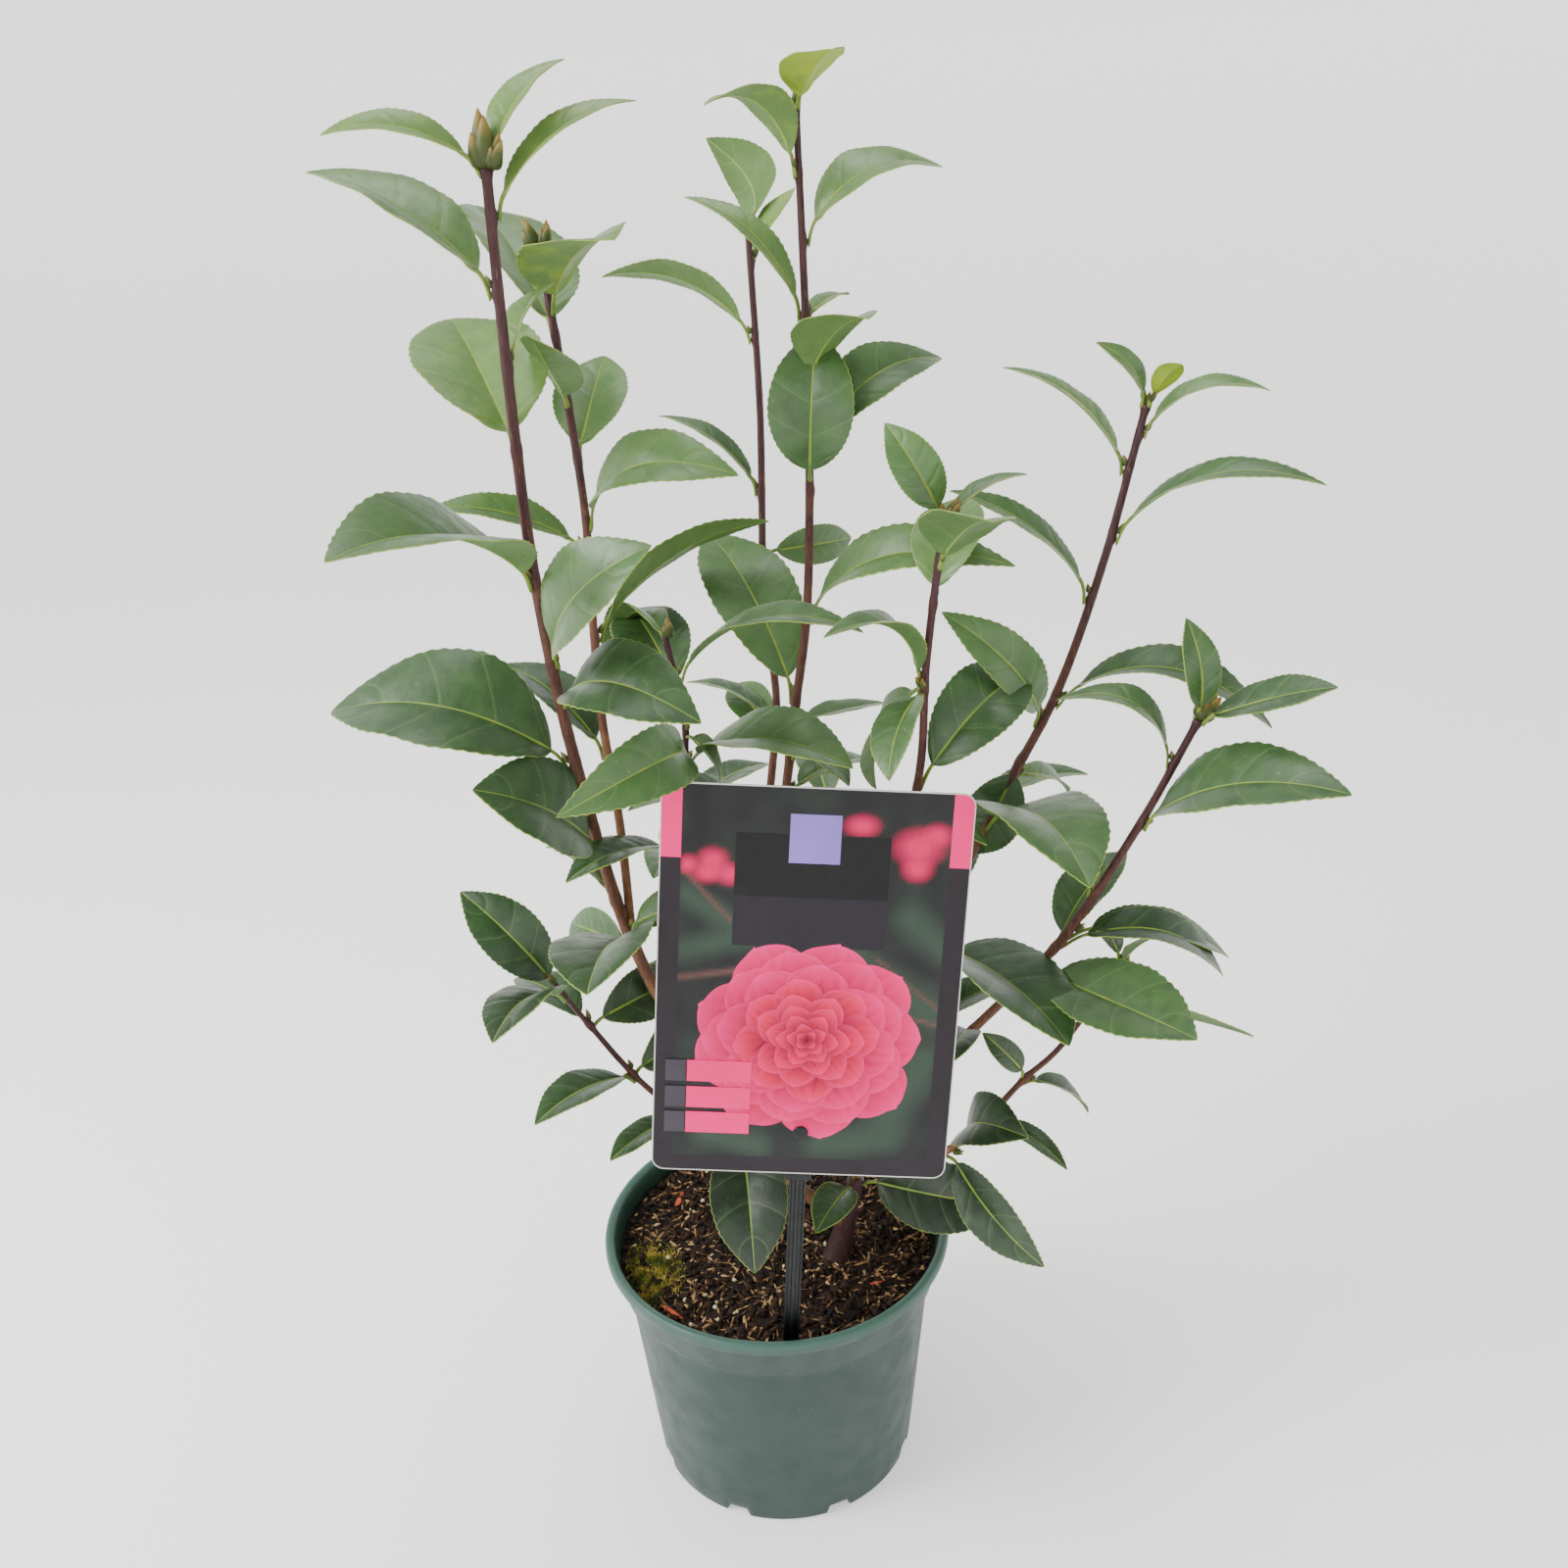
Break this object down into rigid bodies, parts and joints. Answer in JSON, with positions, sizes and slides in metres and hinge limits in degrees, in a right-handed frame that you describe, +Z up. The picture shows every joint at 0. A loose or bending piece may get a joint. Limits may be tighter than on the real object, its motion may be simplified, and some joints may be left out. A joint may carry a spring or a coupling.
{
  "type": "potted camellia shrub",
  "caption": "Young camellia shrub with slim upright shoots and glossy leaves, standing in a round plastic nursery pot with compost and a plain plant card on a stick.",
  "frame": {"origin": "the middle of the flat underside of the pot, on the surface it stands on", "axes": "+Z up along the pot and the shoots; +X to the right and -Y toward the side that the plant card faces"},
  "size_m": [0.4402, 0.3153, 0.7237],
  "materials": {
    "pot_plastic": "matte",
    "compost": "matte",
    "label_card": "satin",
    "label_stick": "satin",
    "bark": "matte",
    "leaves": "satin"
  },
  "bodies": {
    "root": {"pot": "pot_plastic", "compost": "compost", "label_card": "label_card", "label_stick": "label_stick", "trunk": "bark", "bough_left_leader": "bark", "bough_left_inner": "bark", "bough_left_low": "bark", "bough_centre_back": "bark", "bough_centre_leader": "bark", "bough_centre_short": "bark", "bough_front_right": "bark", "bough_right_leader": "bark", "bough_right_outer": "bark", "bough_right_low": "bark", "bough_back_left": "bark", "bough_back_centre": "bark", "bough_back_right": "bark", "foliage_trunk_1": "leaves", "foliage_left_leader_1": "leaves", "foliage_left_leader_2": "leaves", "foliage_left_leader_3": "leaves", "foliage_left_leader_4": "leaves", "foliage_left_inner_1": "leaves", "foliage_left_inner_2": "leaves", "foliage_left_inner_3": "leaves", "foliage_left_low_1": "leaves", "foliage_left_low_2": "leaves", "foliage_centre_back_1": "leaves", "foliage_centre_back_2": "leaves", "foliage_centre_back_3": "leaves", "foliage_centre_leader_1": "leaves", "foliage_centre_leader_2": "leaves", "foliage_centre_leader_3": "leaves", "foliage_centre_leader_4": "leaves", "foliage_centre_short_1": "leaves", "foliage_centre_short_2": "leaves", "foliage_front_right_1": "leaves", "foliage_front_right_2": "leaves", "foliage_front_right_3": "leaves", "foliage_right_leader_1": "leaves", "foliage_right_leader_2": "leaves", "foliage_right_leader_3": "leaves", "foliage_right_leader_4": "leaves", "foliage_right_outer_1": "leaves", "foliage_right_outer_2": "leaves", "foliage_right_outer_3": "leaves", "foliage_right_low_1": "leaves", "foliage_right_low_2": "leaves", "foliage_back_left_1": "leaves", "foliage_back_left_2": "leaves", "foliage_back_centre_1": "leaves", "foliage_back_centre_2": "leaves", "foliage_back_right_1": "leaves", "foliage_back_right_2": "leaves"}
  },
  "joints": []
}
